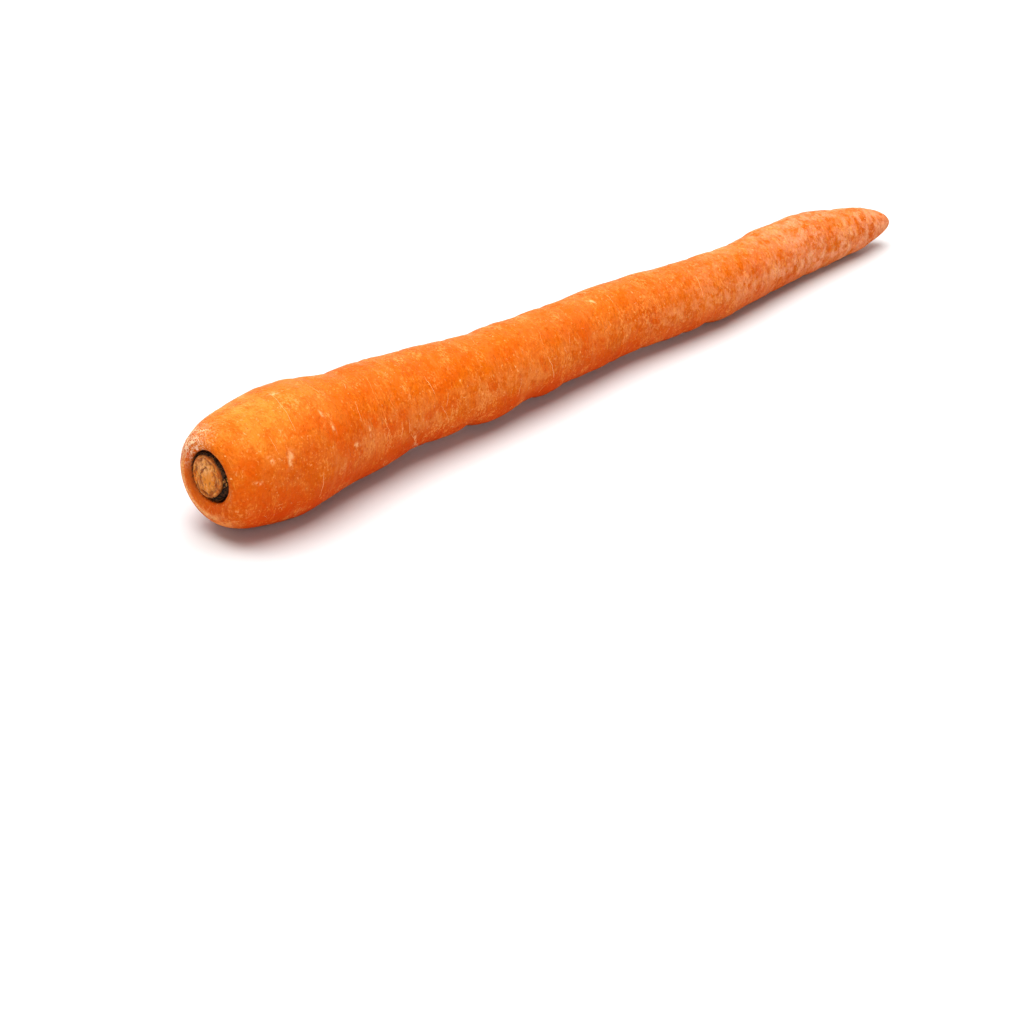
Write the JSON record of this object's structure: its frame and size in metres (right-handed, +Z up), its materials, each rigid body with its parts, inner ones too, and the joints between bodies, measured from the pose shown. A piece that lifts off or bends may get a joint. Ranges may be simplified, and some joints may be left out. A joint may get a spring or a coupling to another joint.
{
  "type": "carrot",
  "caption": "Slender fresh carrot lying on its side, topped at the crown, with the cut leaf-stalk stub in a small socket and a blunt rounded tip.",
  "frame": {"origin": "middle of the carrot's footprint on the surface it lies on", "axes": "+X along the root from the crown to the tip, +Z up from the surface, +Y across the root"},
  "size_m": [0.236, 0.031, 0.0305],
  "materials": {
    "root_skin": "moist satin orange plant skin with fine pale cross lines and mottled rubbed patches",
    "dry_leaf_bases": "dry, matte, nearly black plant fibre",
    "cut_leaf_stalks": "cut plant tissue, tan to orange-brown, satin"
  },
  "bodies": {
    "root": {"taproot": "root_skin", "leaf_base_collar": "dry_leaf_bases", "leaf_stalk_stub": "cut_leaf_stalks"}
  },
  "joints": []
}
